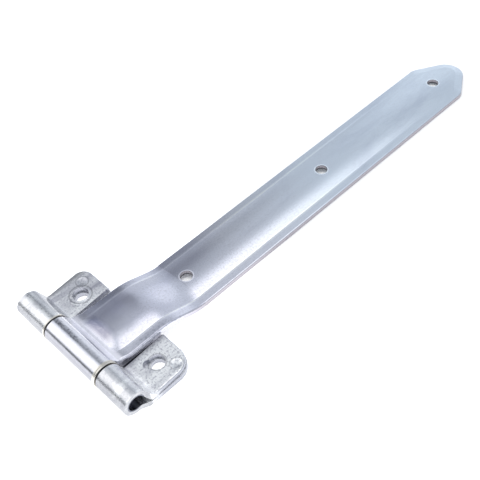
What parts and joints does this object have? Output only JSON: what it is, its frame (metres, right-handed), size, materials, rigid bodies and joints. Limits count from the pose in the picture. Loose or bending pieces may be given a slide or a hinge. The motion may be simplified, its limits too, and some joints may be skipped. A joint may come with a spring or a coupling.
{
  "type": "bent strap hinge",
  "caption": "Long cranked strap hinge for a rear door: ribbed strap with a tongue tip folded over a doubled frame leaf, turning on a plain pin between brass washers.",
  "frame": {"origin": "midpoint of the two frame leaf bolt holes, on the flat underside of the frame leaf that is also the level of the strap's rim", "axes": "+X from the hinge pin towards the strap tip, +Y along the hinge pin, +Z away from the mounting flat"},
  "size_m": [0.3706, 0.105, 0.0212],
  "materials": {
    "zinc_strap": "smooth blue-white zinc plating on pressed steel",
    "zinc_leaf": "mottled zinc plating on folded steel",
    "steel_pin": "plain zinc-plated steel",
    "brass_washer": "dull brass"
  },
  "bodies": {
    "frame": {"frame_leaf": "zinc_leaf", "hinge_pin": "steel_pin", "washer_far": "brass_washer", "washer_near_inner": "brass_washer", "washer_near_outer": "brass_washer"},
    "strap": {"strap": "zinc_strap"}
  },
  "joints": [
    {"name": "strap_swing", "type": "hinge", "parent": "frame", "child": "strap", "pos_m": [-0.027, 0, 0.0126], "axis": [0, -1, 0], "range_deg": [0, 270]}
  ]
}
